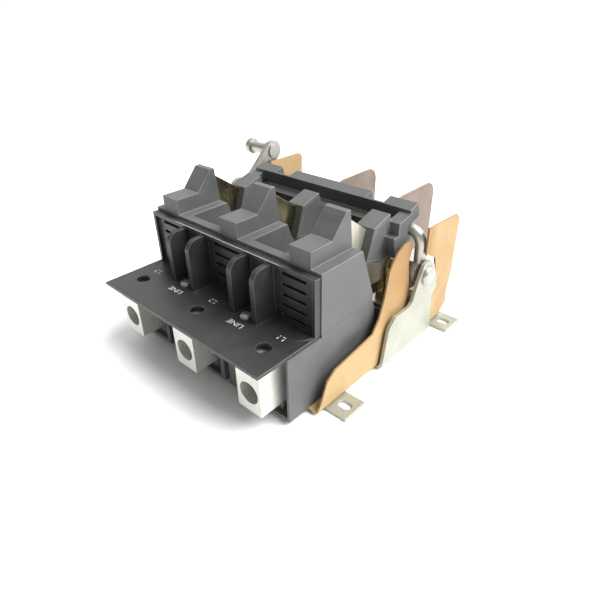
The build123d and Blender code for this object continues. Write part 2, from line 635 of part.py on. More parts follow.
def arc_chamber():
    """Upper line-end moulding: three towers with hoods, open behind for the blades."""
    outline = [
        (CHAMBER_FRONT_Y, PARTING_Z),
        (CHAMBER_FRONT_Y, CHAMBER_TOP_Z),
        (CHAMBER_REAR_TOP_Y, CHAMBER_TOP_Z),
        (CHAMBER_REAR_LOW_Y, PARTING_Z + 3.0),
        (CHAMBER_REAR_LOW_Y - 0.8, PARTING_Z),
    ]
    chamber = side_plate(outline, -MOULDING_HALF_X, MOULDING_HALF_X)
    pit_half = POLE_PITCH / 2 - TOWER_HALF_X
    pit_front = CHAMBER_FRONT_Y + FRONT_RIM_Y
    for x in PHASE_GAP_X:
        chamber -= block(x - pit_half, x + pit_half, pit_front, CHEEK_REAR_Y, PIT_FLOOR_Z, HOOD_RIDGE_Z)
        chamber -= rod_z(x, CHAMBER_SCREW_Y, CHAMBER_SCREW_RADIUS, PARTING_Z, PIT_FLOOR_Z)
    cavity_half = TOWER_HALF_X - CHAMBER_WALL
    cavity_front = CHAMBER_FRONT_Y + CHAMBER_WALL
    cavity_top = CHAMBER_TOP_Z - CHAMBER_WALL
    for x in POLE_X.values():
        left, right = x + HOOD_LEFT_X, x + HOOD_RIGHT_X
        chamber += side_plate(hood_outline(0), left, right)
        chamber -= block(x - cavity_half, x + cavity_half, cavity_front, CHEEK_REAR_Y, PARTING_Z, cavity_top)
        chamber -= side_plate(hood_outline(HOOD_WALL), left + HOOD_WALL, right - HOOD_WALL)
    return chamber


def chamber_screws():
    screws = Part()
    head_top = PIT_FLOOR_Z + CHAMBER_SCREW_HEAD_HEIGHT
    for x in PHASE_GAP_X:
        screw = rod_z(x, CHAMBER_SCREW_Y, CHAMBER_SCREW_RADIUS, CHAMBER_SCREW_LOW_Z, PIT_FLOOR_Z)
        screw += rod_z(x, CHAMBER_SCREW_Y, CHAMBER_SCREW_HEAD_RADIUS, PIT_FLOOR_Z, head_top)
        screws += screw - driver_slot(x, CHAMBER_SCREW_Y, head_top, 2 * CHAMBER_SCREW_HEAD_RADIUS)
    return screws


def driver_slot(x, y, top_z, length):
    half = SCREW_SLOT_WIDTH / 2
    return block(x - length, x + length, y - half, y + half, top_z - SCREW_SLOT_DEPTH, top_z)


def line_guard():
    """Shelf over the line lugs, louvred panel with a rim, and two pairs of ribs."""
    left, right = -GUARD_HALF_X, GUARD_HALF_X
    guard = block(left, right, GUARD_TIP_Y, GUARD_PANEL_BACK_Y, SHELF_Z, SHELF_TOP_Z)
    guard += block(left, right, GUARD_PANEL_FRONT_Y, GUARD_PANEL_BACK_Y, SHELF_Z, GUARD_TOP_Z)
    rim_front_y = GUARD_PANEL_FRONT_Y - GUARD_RIM
    rim = block(left, right, rim_front_y, GUARD_PANEL_FRONT_Y, SHELF_TOP_Z, GUARD_TOP_Z)
    inner_edge = GUARD_HALF_X - GUARD_RIM
    inner_top = GUARD_TOP_Z - GUARD_RIM
    rim -= block(-inner_edge, inner_edge, rim_front_y, GUARD_PANEL_FRONT_Y, SHELF_TOP_Z, inner_top)
    guard += rim
    for gap_x in PHASE_GAP_X:
        for offset in (-RIB_OFFSET_X, RIB_OFFSET_X):
            guard += guard_rib(gap_x + offset)
        guard -= rod_z(gap_x, GUARD_SCREW_Y, GUARD_SCREW_RADIUS, SHELF_Z, SHELF_TOP_Z)
    rib_edge = PHASE_GAP_X[1] + RIB_OFFSET_X + RIB_THICKNESS / 2
    outer_bay_x = (inner_edge + rib_edge) / 2
    louvres = (
        (-outer_bay_x, LOUVRE_OUTER_LENGTH),
        (0.0, LOUVRE_MIDDLE_LENGTH),
        (outer_bay_x, LOUVRE_OUTER_LENGTH),
    )
    for row in range(LOUVRE_COUNT):
        z0 = SHELF_TOP_Z + LOUVRE_LOW_RISE + row * LOUVRE_PITCH - LOUVRE_HEIGHT / 2
        for x, length in louvres:
            guard -= block(
                x - length / 2,
                x + length / 2,
                GUARD_PANEL_FRONT_Y,
                GUARD_PANEL_BACK_Y,
                z0,
                z0 + LOUVRE_HEIGHT,
            )
    for x in POLE_X.values():
        guard -= rod_z(x, LINE_SCREW_Y, GUARD_HOLE_RADIUS, SHELF_Z, SHELF_TOP_Z)
    return guard


def guard_rib(x):
    front_y = GUARD_PANEL_FRONT_Y - RIB_REACH_Y
    outline = [
        (front_y, SHELF_TOP_Z),
        (front_y, RIB_TOP_Z),
        (GUARD_PANEL_FRONT_Y, RIB_TOP_Z),
        (GUARD_PANEL_FRONT_Y, SHELF_TOP_Z),
    ]
    rib = side_plate(outline, x - RIB_THICKNESS / 2, x + RIB_THICKNESS / 2)
    corner = rib.edges().filter_by(Axis.X).group_by(Axis.Z)[-1].sort_by(Axis.Y)[0]
    return fillet(corner, RIB_CORNER)


def guard_screws():
    screws = Part()
    head_top = SHELF_TOP_Z + GUARD_SCREW_HEAD_HEIGHT
    for x in PHASE_GAP_X:
        head = rod_z(x, GUARD_SCREW_Y, GUARD_SCREW_HEAD_RADIUS, SHELF_TOP_Z, head_top)
        head = fillet(head.edges().group_by(Axis.Z)[-1], GUARD_SCREW_CROWN)
        head -= driver_slot(x, GUARD_SCREW_Y, head_top, 2 * GUARD_SCREW_HEAD_RADIUS)
        shank_low = SHELF_Z - GUARD_SCREW_GRIP
        screws += head + rod_z(x, GUARD_SCREW_Y, GUARD_SCREW_RADIUS, shank_low, SHELF_TOP_Z)
    return screws


# ---------------------------------------------------------------- line end copper
def lug(x, face_y, inward):
    """Box lug; inward is +1 when the body lies on the +Y side of its face."""
    rear_y = face_y + inward * LUG_LENGTH
    half = LUG_WIDTH / 2
    body = block(x - half, x + half, face_y, rear_y, LUG_BOTTOM_Z, LUG_TOP_Z)
    body = chamfer(body.edges().filter_by(Axis.Y), LUG_EDGE)
    body -= rod_y(x, BORE_Z, LUG_BORE_RADIUS, face_y, rear_y)
    screw_y = face_y + inward * SET_SCREW_SETBACK
    hole_radius = SET_SCREW_RADIUS + RUNNING_CLEARANCE
    return body - rod_z(x, screw_y, hole_radius, BORE_Z, LUG_TOP_Z)


def set_screw(x, y):
    """Socket set screw, backed off until its tip clears the wire bore."""
    tip_z = BORE_Z + LUG_BORE_RADIUS + SET_SCREW_REST_GAP
    top_z = tip_z + SET_SCREW_LENGTH
    screw = rod_z(x, y, SET_SCREW_RADIUS, tip_z, top_z)
    screw = chamfer(screw.edges().group_by(Axis.Z)[0], SET_SCREW_POINT)
    socket = extrude(RegularPolygon(HEX_SOCKET_RADIUS, 6), HEX_SOCKET_DEPTH)
    return screw - Pos(x, y, top_z - HEX_SOCKET_DEPTH) * socket


def line_strap(x):
    """Copper strap from under the lug up to the jaw."""
    front = LINE_SCREW_Y + 6.0
    riser = JAW_FRONT_Y - STRAP_THICKNESS
    outline = [
        (front, STRAP_FLOOR_Z),
        (front, LUG_BOTTOM_Z),
        (riser, LUG_BOTTOM_Z),
        (riser, JAW_FLOOR_Z + STRAP_THICKNESS),
        (JAW_REAR_Y, JAW_FLOOR_Z + STRAP_THICKNESS),
        (JAW_REAR_Y, JAW_FLOOR_Z),
        (JAW_FRONT_Y, JAW_FLOOR_Z),
        (JAW_FRONT_Y, STRAP_FLOOR_Z),
    ]
    return side_plate(outline, x - STRAP_HALF_X, x + STRAP_HALF_X)


def line_jaw(x):
    """Fork of two copper leaves that takes the blade."""
    floor_z = JAW_FLOOR_Z + STRAP_THICKNESS
    jaw = block(x + LEAF_LEFT, x + LEAF_RIGHT, JAW_FRONT_Y, JAW_REAR_Y, floor_z, JAW_TOP_Z)
    gap_left = x + BLADE_LEFT - CONTACT_GAP
    gap_right = x + BLADE_RIGHT + CONTACT_GAP
    return jaw - block(gap_left, gap_right, JAW_FRONT_Y, JAW_REAR_Y, floor_z + JAW_WEB, JAW_TOP_Z)


def arc_plates(x):
    """Stack of steel splitter plates, notched around the jaw and blade."""
    half = TOWER_HALF_X - CHAMBER_WALL
    front_y = CHAMBER_FRONT_Y + CHAMBER_WALL + ARC_PLATE_GAP
    rear_y = front_y + ARC_PLATE_LENGTH
    notch_left = x + LEAF_LEFT - ARC_NOTCH_CLEARANCE
    notch_right = x + LEAF_RIGHT + ARC_NOTCH_CLEARANCE
    stack = Part()
    for index in range(ARC_PLATE_COUNT):
        z0 = ARC_PLATE_LOW_Z + index * ARC_PLATE_PITCH
        z1 = z0 + ARC_PLATE_THICKNESS
        plate = block(x - half, x + half, front_y, rear_y, z0, z1)
        stack += plate - block(notch_left, notch_right, JAW_FRONT_Y - ARC_NOTCH_FRONT, rear_y, z0, z1)
    return stack


# ---------------------------------------------------------------- load end
def load_base():
    """Lower load-end moulding: hinge pedestals, lug seats and barrier slots."""
    floor_z = MOULDING_BOTTOM_Z + LOAD_BASE_FLOOR
    side = LOAD_BASE_HALF_X
    base = block(-side, side, LOAD_BASE_FRONT_Y, LOAD_BASE_REAR_Y, MOULDING_BOTTOM_Z, floor_z)
    half = STRAP_HALF_X + PEDESTAL_MARGIN
    seat_rear = LOAD_BASE_REAR_Y - 2.0
    for x in POLE_X.values():
        base += block(x - half, x + half, PEDESTAL_FRONT_Y, LOAD_RISER_Y, floor_z, HINGE_FLOOR_Z)
        base += block(x - half, x + half, LOAD_RISER_Y, seat_rear, floor_z, STRAP_FLOOR_Z)
    wall_front = BARRIER_FRONT_Y - 4.0
    slot_half = BARRIER_THICKNESS / 2
    for x in PHASE_GAP_X:
        left, right = x - BARRIER_WALL_HALF_X, x + BARRIER_WALL_HALF_X
        base += block(left, right, wall_front, LOAD_BASE_REAR_Y, floor_z, BARRIER_WALL_TOP_Z)
        base -= block(
            x - slot_half,
            x + slot_half,
            BARRIER_FRONT_Y,
            LOAD_BASE_REAR_Y,
            BARRIER_SLOT_FLOOR_Z,
            BARRIER_WALL_TOP_Z,
        )
        for y in LOAD_SCREW_YS:
            base += rod_z(x, y, BOSS_RADIUS, floor_z, BASE_SCREW_TOP_Z + 2.0)
    return base - base_screw_shanks(MOULDING_BOTTOM_Z, BASE_SCREW_TOP_Z)


def load_strap(x):
    """Copper strap from the hinge clip down under the load lug."""
    front = PEDESTAL_FRONT_Y + 2.0
    rear = LOAD_BASE_REAR_Y - 4.0
    riser_rear_y = LOAD_RISER_Y + STRAP_THICKNESS
    outline = [
        (front, HINGE_FLOOR_Z),
        (front, HINGE_FLOOR_Z + STRAP_THICKNESS),
        (riser_rear_y, HINGE_FLOOR_Z + STRAP_THICKNESS),
        (riser_rear_y, LUG_BOTTOM_Z),
        (rear, LUG_BOTTOM_Z),
        (rear, STRAP_FLOOR_Z),
        (LOAD_RISER_Y, STRAP_FLOOR_Z),
        (LOAD_RISER_Y, HINGE_FLOOR_Z),
    ]
    return side_plate(outline, x - STRAP_HALF_X, x + STRAP_HALF_X)


def hinge_clip(x):
    """Two upright ears that carry the blade's hinge pin."""
    floor_z = HINGE_FLOOR_Z + STRAP_THICKNESS
    left, right = x + LEAF_LEFT, x + LEAF_RIGHT
    clip = block(left, right, PIVOT_Y - CLIP_HALF_Y, PIVOT_Y + CLIP_HALF_Y, floor_z, PIVOT_Z)
    clip += rod_x(PIVOT_Y, PIVOT_Z, CLIP_HALF_Y, left, right)
    gap_left = x + BLADE_LEFT - CONTACT_GAP
    gap_right = x + BLADE_RIGHT + CONTACT_GAP
    reach = 2 * CLIP_HALF_Y
    clip -= block(gap_left, gap_right, PIVOT_Y - reach, PIVOT_Y + reach, floor_z + CLIP_WEB, PIVOT_Z + reach)
    return clip - rod_x(PIVOT_Y, PIVOT_Z, PIVOT_PIN_RADIUS, left, right)


def hinge_pins():
    pins = Part()
    head_radius = PIVOT_PIN_RADIUS + PIN_HEAD_STEP
    for x in POLE_X.values():
        left, right = x + LEAF_LEFT, x + LEAF_RIGHT
        pins += rod_x(PIVOT_Y, PIVOT_Z, PIVOT_PIN_RADIUS, left, right)
        pins += rod_x(PIVOT_Y, PIVOT_Z, head_radius, left - PIN_HEAD_HEIGHT, left)
        pins += rod_x(PIVOT_Y, PIVOT_Z, head_radius, right, right + PIN_HEAD_HEIGHT)
    return pins


# ---------------------------------------------------------------- moving assembly
def crossbar():
    """Tilted insulating bar with three blade carriers and two end posts."""
    bar = tilted_bar(BAR_LOWER, -CROSSBAR_BODY_HALF_X, CROSSBAR_BODY_HALF_X)
    bar += tilted_bar(BAR_UPPER, -CROSSBAR_HALF_X, CROSSBAR_HALF_X)
    for side in (-1, 1):
        bar -= tilted_bar(BAR_NOTCH, side * (POLE_PITCH - NOTCH_INNER), side * (POLE_PITCH - NOTCH_OUTER))
    for x in POLE_X.values():
        bar += blade_carrier(x)
    for side in (-1, 1):
        bar += end_post(side)
    for x in POLE_X.values():
        bar -= blade_plate(x)
        bar -= carrier_rivet_shank(x)
    return bar - rod_x(ROD_Y, ROD_Z, ROD_RADIUS, -CROSSBAR_HALF_X, CROSSBAR_HALF_X)


def blade_carrier(x):
    """Block in front of the bar that grips one blade."""
    outline = [
        (0.0, 78.0),
        (14.0, 82.0),
        (15.8, 76.0),
        (24.0, 71.0),
        (26.8, 61.0),
        (8.3, 55.6),
        (-6.2, 59.4),
    ]
    return side_plate(outline, x + CARRIER_LEFT_X, x + CARRIER_RIGHT_X)


def end_post(side):
    """Stepped post beside each outer carrier, in front of the bar's end."""
    outline = [
        (9.4, 70.7),
        (13.8, 70.7),
        (13.8, 77.9),
        (25.9, 80.3),
        (26.9, 74.6),
        (23.6, 74.2),
        (22.0, 58.0),
        (12.0, 58.0),
    ]
    return side_plate(outline, side * (POLE_PITCH + POST_INNER), side * (POLE_PITCH + POST_OUTER))


def blade_plate(x):
    """Solid blade: swept edge about the pivot, sloping top, straight lower edge."""
    angles = (BLADE_LOW_ANGLE, BLADE_MID_ANGLE, BLADE_TOP_ANGLE)
    swept = [polar(BLADE_REACH, angle) for angle in angles]
    rest = Polyline(
        swept[-1],
        (0.0, 76.4),
        (9.0, 72.0),
        (PIVOT_Y + 2.0, PIVOT_Z + EYE_RADIUS - 0.5),
        (PIVOT_Y, PIVOT_Z - EYE_RADIUS + 0.1),
        (PIVOT_Y - 8.0, PIVOT_Z - EYE_RADIUS + 0.5),
        swept[0],
    )
    face = make_face(ThreePointArc(*swept) + rest)
    return extrude(Plane.YZ.offset(x + BLADE_LEFT) * face, BLADE_THICKNESS)


def blade(x):
    left, right = x + BLADE_LEFT, x + BLADE_RIGHT
    plate = blade_plate(x) + rod_x(PIVOT_Y, PIVOT_Z, EYE_RADIUS, left, right)
    plate -= rod_x(PIVOT_Y, PIVOT_Z, PIVOT_HOLE_RADIUS, left, right)
    return plate - carrier_rivet_shank(x)


def carrier_rivet_shank(x):
    left, right = x + CARRIER_LEFT_X, x + CARRIER_RIGHT_X - CARRIER_RIVET_SKIN
    return rod_x(RIVET_Y, RIVET_Z, CARRIER_RIVET_RADIUS, left, right)


def blade_rivets():
    """Rivets through carrier and blade, headed on the -X side only."""
    rivets = Part()
    head_radius = CARRIER_RIVET_RADIUS + CARRIER_RIVET_HEAD_STEP
    for x in POLE_X.values():
        left = x + CARRIER_LEFT_X
        rivets += carrier_rivet_shank(x)
        rivets += rod_x(RIVET_Y, RIVET_Z, head_radius, left - CARRIER_RIVET_HEAD_HEIGHT, left)
    return rivets


def bail_rod():
    """Round rod through the bar; its right end bends down to a flattened pivot eye."""
    start = (LEVER_OUTER_X - ROD_TAIL, ROD_Y, ROD_Z)
    corner = (ROD_LEG_X, ROD_Y, ROD_Z)
    end = (ROD_LEG_X, PIVOT_Y, PIVOT_Z + ROD_LEG_RISE)
    path = FilletPolyline(start, corner, end, radius=ROD_BEND_RADIUS)
    rod = sweep(Plane(origin=start, z_dir=(1, 0, 0)) * Circle(ROD_RADIUS), path)
    left, right = ROD_LEG_X - ROD_EYE_THICKNESS / 2, ROD_LEG_X + ROD_EYE_THICKNESS / 2
    rod += rod_x(PIVOT_Y, PIVOT_Z, EYE_RADIUS, left, right)
    return rod - rod_x(PIVOT_Y, PIVOT_Z, PIVOT_HOLE_RADIUS, left - ROD_RADIUS, right + ROD_RADIUS)


def operating_lever():
    """Flat cranked lever on the left end of the bail rod."""
    faces = (LEVER_OUTER_X, LEVER_INNER_X)
    elbow = (PIVOT_Y + LEVER_ELBOW[0], PIVOT_Z + LEVER_ELBOW[1])
    arm_root = (PIVOT_Y + LEVER_ARM_ROOT[0], PIVOT_Z + LEVER_ARM_ROOT[1])
    lever = capsule((PIVOT_Y, PIVOT_Z), elbow, EYE_RADIUS, *faces)
    lever += capsule(arm_root, (TIP_Y, TIP_Z), LEVER_TIP_RADIUS, *faces)
    lever -= rod_x(PIVOT_Y, PIVOT_Z, PIVOT_HOLE_RADIUS, *faces)
    lever -= rod_x(ROD_Y, ROD_Z, ROD_RADIUS, *faces)
    return lever - rod_x(TIP_Y, TIP_Z, STUD_RADIUS - STUD_TENON_STEP, *faces)


def lever_stud():
    """Spool-shaped stud riveted into the lever's tip, for the operating link."""
    head_x = STUD_END_X + STUD_HEAD_LENGTH
    collar_x = LEVER_OUTER_X - STUD_COLLAR_LENGTH
    tenon_x = LEVER_INNER_X + STUD_TENON_TAIL
    stud = rod_x(TIP_Y, TIP_Z, STUD_RADIUS, LEVER_OUTER_X, head_x)
    stud += rod_x(TIP_Y, TIP_Z, STUD_RADIUS + STUD_COLLAR_STEP, LEVER_OUTER_X, collar_x)
    stud += rod_x(TIP_Y, TIP_Z, STUD_RADIUS + STUD_HEAD_STEP, STUD_END_X, head_x)
    stud += rod_x(TIP_Y, TIP_Z, STUD_RADIUS - STUD_TENON_STEP, LEVER_OUTER_X, tenon_x)
    return stud + rod_x(TIP_Y, TIP_Z, STUD_RADIUS + STUD_CLINCH_STEP, LEVER_INNER_X, tenon_x)


def pivot_rivets():
    """Headed rivets through the cheeks that carry the lever and the bail rod."""
    eye_inner = ROD_LEG_X - ROD_EYE_THICKNESS / 2
    eye_outer = ROD_LEG_X + ROD_EYE_THICKNESS / 2
    clinch_radius = PIVOT_PIN_RADIUS + PIVOT_CLINCH_STEP
    rivets = Part()
    for side, carried_x in ((-1, abs(LEVER_INNER_X)), (1, eye_inner)):
        clinch_outer = side * (carried_x - PIVOT_END_PLAY)
        clinch_inner = clinch_outer - side * PIVOT_CLINCH_HEIGHT
        outer = side * CHEEK_OUTER_X
        rivets += rod_x(PIVOT_Y, PIVOT_Z, PIVOT_PIN_RADIUS, clinch_inner, outer)
        head = rod_x(PIVOT_Y, PIVOT_Z, PIVOT_HEAD_RADIUS, outer, outer + side * PIVOT_HEAD_HEIGHT)
        rim = head.edges().filter_by(GeomType.CIRCLE).sort_by(lambda e: side * e.center().X)[-1]
        rivets += fillet(rim, PIVOT_HEAD_CROWN)
        rivets += rod_x(PIVOT_Y, PIVOT_Z, clinch_radius, clinch_inner, clinch_outer)
    return rivets + rod_x(PIVOT_Y, PIVOT_Z, clinch_radius, eye_outer + PIVOT_END_PLAY, CHEEK_INNER_X)


# ---------------------------------------------------------------- assembly
def all_nodes():
    nodes = {
        "base_pan": base_pan(),
        "fibre_liner_right": fibre_liner_right(),
        "fibre_liner_left": fibre_liner_left(),
        "phase_barrier_right": phase_barrier(PHASE_GAP_X[1]),
        "phase_barrier_left": phase_barrier(PHASE_GAP_X[0]),
        "base_screws": base_screws(),
        "line_base": line_base(),
        "arc_chamber": arc_chamber(),
        "chamber_screws": chamber_screws(),
        "line_guard": line_guard(),
        "guard_screws": guard_screws(),
        "load_base": load_base(),
        "hinge_pins": hinge_pins(),
        "pivot_rivets": pivot_rivets(),
        "crossbar": crossbar(),
        "blade_rivets": blade_rivets(),
        "bail_rod": bail_rod(),
        "operating_lever": operating_lever(),
        "lever_stud": lever_stud(),
    }
    nodes |= pole_nodes("line_lug", lambda x: lug(x, LINE_FACE_Y, 1))
    nodes |= pole_nodes("load_lug", lambda x: lug(x, LOAD_FACE_Y, -1))
    nodes |= pole_nodes("line_set_screw", lambda x: set_screw(x, LINE_SCREW_Y))
    nodes |= pole_nodes("load_set_screw", lambda x: set_screw(x, LOAD_SCREW_Y))
    nodes |= pole_nodes("line_strap", line_strap)
    nodes |= pole_nodes("line_jaw", line_jaw)
    nodes |= pole_nodes("arc_plates", arc_plates)
    nodes |= pole_nodes("load_strap", load_strap)
    nodes |= pole_nodes("hinge_clip", hinge_clip)
    nodes |= pole_nodes("blade", blade)
    return nodes


for name, solid in all_nodes().items():
    export_step(Pos(0, -FOOT_CENTRE_Y, 0) * solid, f"parts/{name}.step")
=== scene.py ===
import math

import bmesh
import bpy
from mathutils import Matrix, Vector


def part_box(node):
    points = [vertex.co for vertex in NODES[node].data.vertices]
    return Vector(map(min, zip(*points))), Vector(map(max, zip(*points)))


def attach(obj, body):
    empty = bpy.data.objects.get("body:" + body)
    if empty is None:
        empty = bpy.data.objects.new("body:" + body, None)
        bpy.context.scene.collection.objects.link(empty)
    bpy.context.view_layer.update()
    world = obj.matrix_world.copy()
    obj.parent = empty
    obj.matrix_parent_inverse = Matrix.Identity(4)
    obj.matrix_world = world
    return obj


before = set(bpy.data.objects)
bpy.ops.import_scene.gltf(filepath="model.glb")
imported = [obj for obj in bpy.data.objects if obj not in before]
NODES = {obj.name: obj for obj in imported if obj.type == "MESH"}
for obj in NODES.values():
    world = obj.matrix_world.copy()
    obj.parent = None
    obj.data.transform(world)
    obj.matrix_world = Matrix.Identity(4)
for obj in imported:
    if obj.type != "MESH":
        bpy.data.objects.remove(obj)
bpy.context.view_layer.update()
MM = 0.001
scene = bpy.context.scene


# ---- camera --------------------------------------------------------------------------------------
CAMERA_PLACE = Vector((188.07, -204.60, 184.19)) * MM
CAMERA_TURN = math.radians(42.86)
CAMERA_DIP = math.radians(31.99)
CAMERA_ROLL = math.radians(-1.06)
LENS = 29.815
SENSOR = 36.0
CLIP_NEAR, CLIP_FAR = 0.01, 50


def make_camera():
    """The camera, from its place, its turn about +Z, its dip below the horizon and its roll."""
    ahead = Vector((-math.sin(CAMERA_TURN) * math.cos(CAMERA_DIP),
                    math.cos(CAMERA_TURN) * math.cos(CAMERA_DIP), -math.sin(CAMERA_DIP)))
    level_right = Vector((math.cos(CAMERA_TURN), math.sin(CAMERA_TURN), 0))
    level_up = level_right.cross(ahead)
    right = level_right * math.cos(CAMERA_ROLL) + level_up * math.sin(CAMERA_ROLL)
    up = level_up * math.cos(CAMERA_ROLL) - level_right * math.sin(CAMERA_ROLL)
    data = bpy.data.cameras.new("camera")
    data.lens, data.sensor_width = LENS, SENSOR
    data.clip_start, data.clip_end = CLIP_NEAR, CLIP_FAR
    camera = bpy.data.objects.new("camera", data)
    scene.collection.objects.link(camera)
    turn = Matrix((right, up, -ahead)).transposed()
    camera.matrix_world = Matrix.Translation(CAMERA_PLACE) @ turn.to_4x4()
    scene.camera = camera


# ---- floor and light -----------------------------------------------------------------------------
FLOOR_HALF = 12.0
FLOOR_COLOUR = (0.93, 0.93, 0.93, 1)
FLOOR_ROUGHNESS = 0.75
FLOOR_SPECULAR = 0.2
FRONT_LIGHT = 0.28                 # surround towards -Y, where the viewer stands
REAR_LIGHT = 1.35                  # surround towards +Y
LIGHT_EVEN_FROM = 0.7              # the direction's Y past which the surround stays even
SEEN_LIGHT = 1.05                  # surround as the camera sees it
KEY_LIGHT = 5.4
KEY_FROM = (0.50, 0.30, 0.80)
KEY_SOFTNESS = math.radians(46)


def make_stage():
    """A plain pale floor far past the view."""
    half = FLOOR_HALF
    corners = [(-half, -half, 0), (half, -half, 0), (half, half, 0), (-half, half, 0)]
    mesh = bpy.data.meshes.new("floor")
    mesh.from_pydata(corners, [], [(0, 1, 2, 3)])
    floor = bpy.data.objects.new("floor", mesh)
    scene.collection.objects.link(floor)
    mat = bpy.data.materials.new("floor_paper")
    mat.use_nodes = True
    shader = mat.node_tree.nodes["Principled BSDF"]
    shader.inputs["Base Color"].default_value = FLOOR_COLOUR
    shader.inputs["Roughness"].default_value = FLOOR_ROUGHNESS
    shader.inputs["Specular IOR Level"].default_value = FLOOR_SPECULAR
    mesh.materials.append(mat)


def make_light():
    """A white surround, dim from the front and bright from the rear, and one soft key."""
    world = bpy.data.worlds.new("surround")
    world.use_nodes = True
    tree = world.node_tree
    back = tree.nodes["Background"]
    path = tree.nodes.new("ShaderNodeLightPath")
    towards = tree.nodes.new("ShaderNodeSeparateXYZ")
    tree.links.new(tree.nodes.new("ShaderNodeTexCoord").outputs["Generated"],
                   towards.inputs["Vector"])
    depth = tree.nodes.new("ShaderNodeMapRange")
    depth.inputs["From Min"].default_value = -LIGHT_EVEN_FROM
    depth.inputs["From Max"].default_value = LIGHT_EVEN_FROM
    depth.inputs["To Min"].default_value = FRONT_LIGHT
    depth.inputs["To Max"].default_value = REAR_LIGHT
    tree.links.new(towards.outputs["Y"], depth.inputs["Value"])
    strength = tree.nodes.new("ShaderNodeMix")
    strength.inputs["B"].default_value = SEEN_LIGHT
    tree.links.new(path.outputs["Is Camera Ray"], strength.inputs["Factor"])
    tree.links.new(depth.outputs["Result"], strength.inputs["A"])
    tree.links.new(strength.outputs["Result"], back.inputs["Strength"])
    back.inputs["Color"].default_value = (1.0, 1.0, 1.0, 1)
    scene.world = world

    data = bpy.data.lights.new("key", "SUN")
    data.energy, data.angle = KEY_LIGHT, KEY_SOFTNESS
    key = bpy.data.objects.new("key", data)
    scene.collection.objects.link(key)
    key.rotation_mode = "QUATERNION"
    key.rotation_quaternion = Vector(KEY_FROM).to_track_quat("Z", "Y")
    scene.view_settings.view_transform = "Standard"


# ---- materials -----------------------------------------------------------------------------------
MIX_FACTOR, MIX_A, MIX_B, MIX_RESULT = 0, 6, 7, 2      # a colour mix node's sockets, by number
ROUGH_LOW_AT, ROUGH_HIGH_AT = 0.3, 0.7                 # noise values that give the two roughnesses


